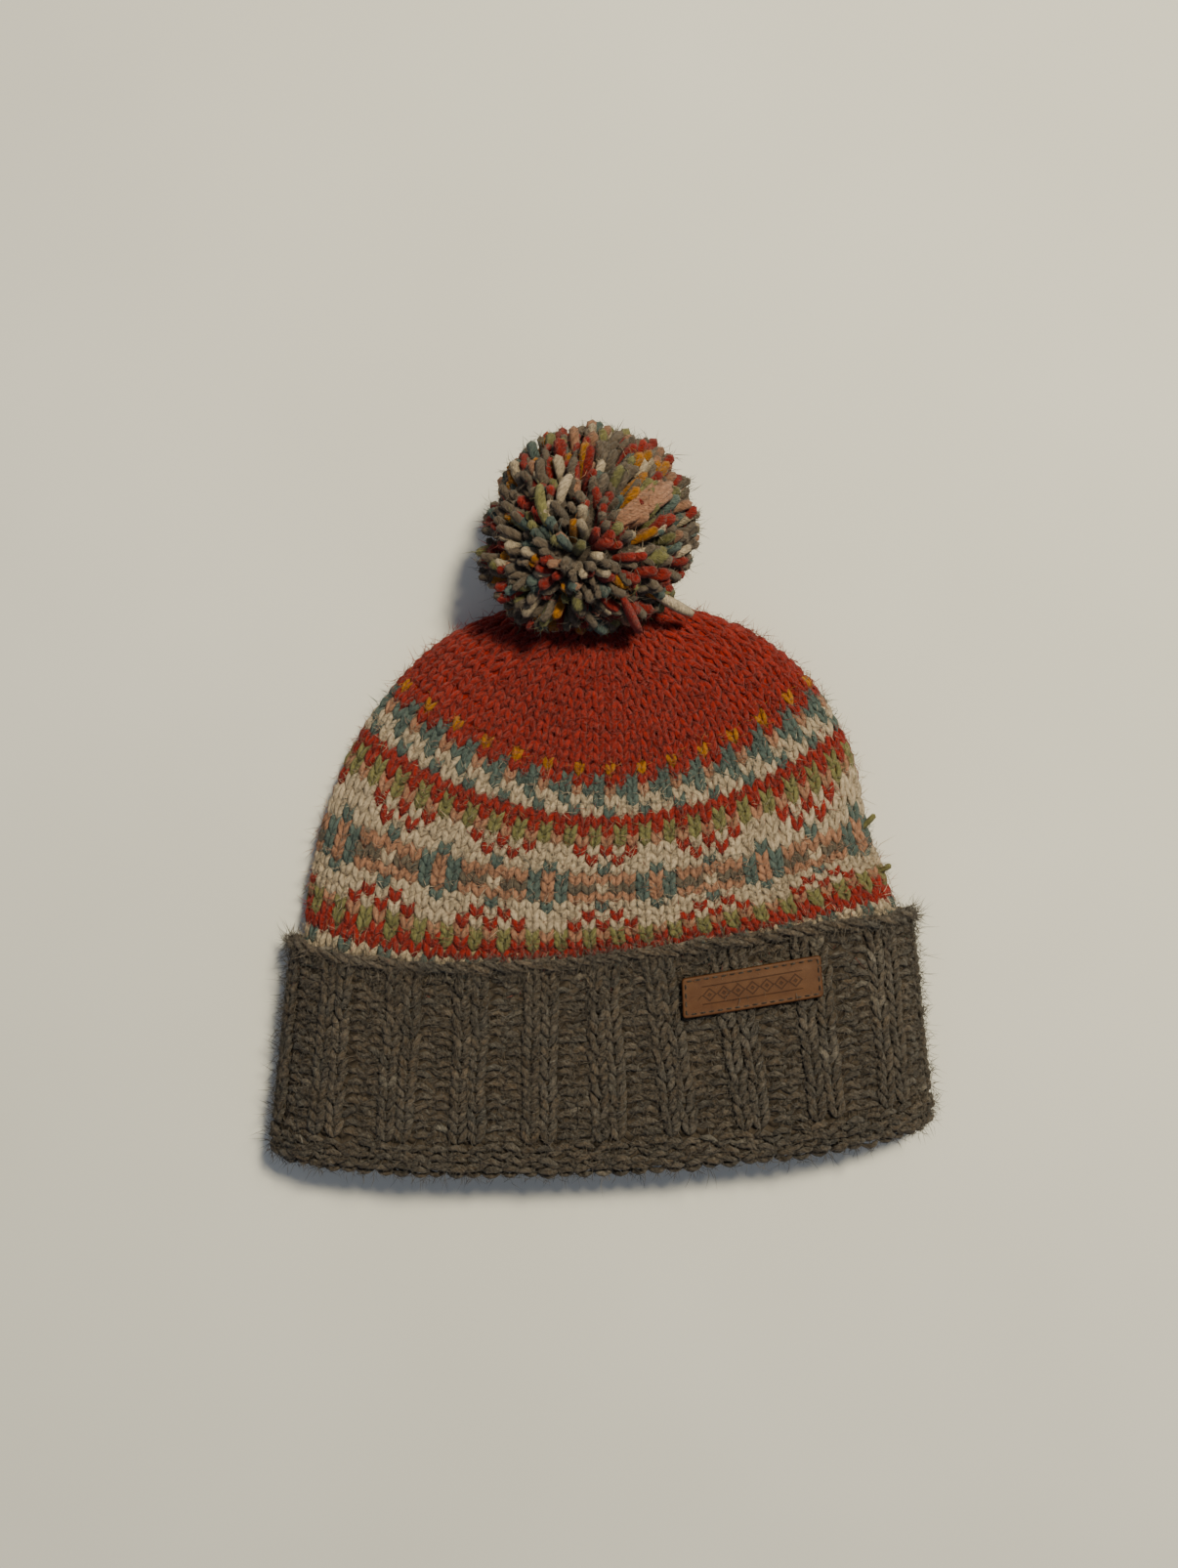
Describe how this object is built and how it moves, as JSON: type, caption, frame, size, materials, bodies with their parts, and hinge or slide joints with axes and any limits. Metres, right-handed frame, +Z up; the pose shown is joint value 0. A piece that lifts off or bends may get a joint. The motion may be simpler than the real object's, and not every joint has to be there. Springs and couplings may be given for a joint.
{
  "type": "bobble hat",
  "caption": "knitted colourwork hat lying flat, hollow body gathered at the crown, folded ribbed cuff with a small leather patch, and a yarn pompom on a tie",
  "frame": {"origin": "on the floor under the middle of the hat as it lies on its back", "axes": "+Z up through the hat's front, +Y from the mouth towards the pompom, +X towards the side with the leather patch"},
  "size_m": [0.2482, 0.2768, 0.0743],
  "materials": {
    "colourwork_knit": "matt brushed wool, stocking stitch in coral, teal, cream, sage, peach and mustard",
    "marl_rib": "matt grey-brown heather wool, 2x2 rib",
    "pompom_wool": "matt cut yarn ends in mixed colours",
    "tie_yarn": "matt wool yarn",
    "patch_leather": "smooth tan leather with a dark worn edge"
  },
  "bodies": {
    "root": {"crown_body": "colourwork_knit", "ribbed_cuff": "marl_rib", "pompom": "pompom_wool", "pompom_tie": "tie_yarn", "leather_patch": "patch_leather"}
  },
  "joints": []
}
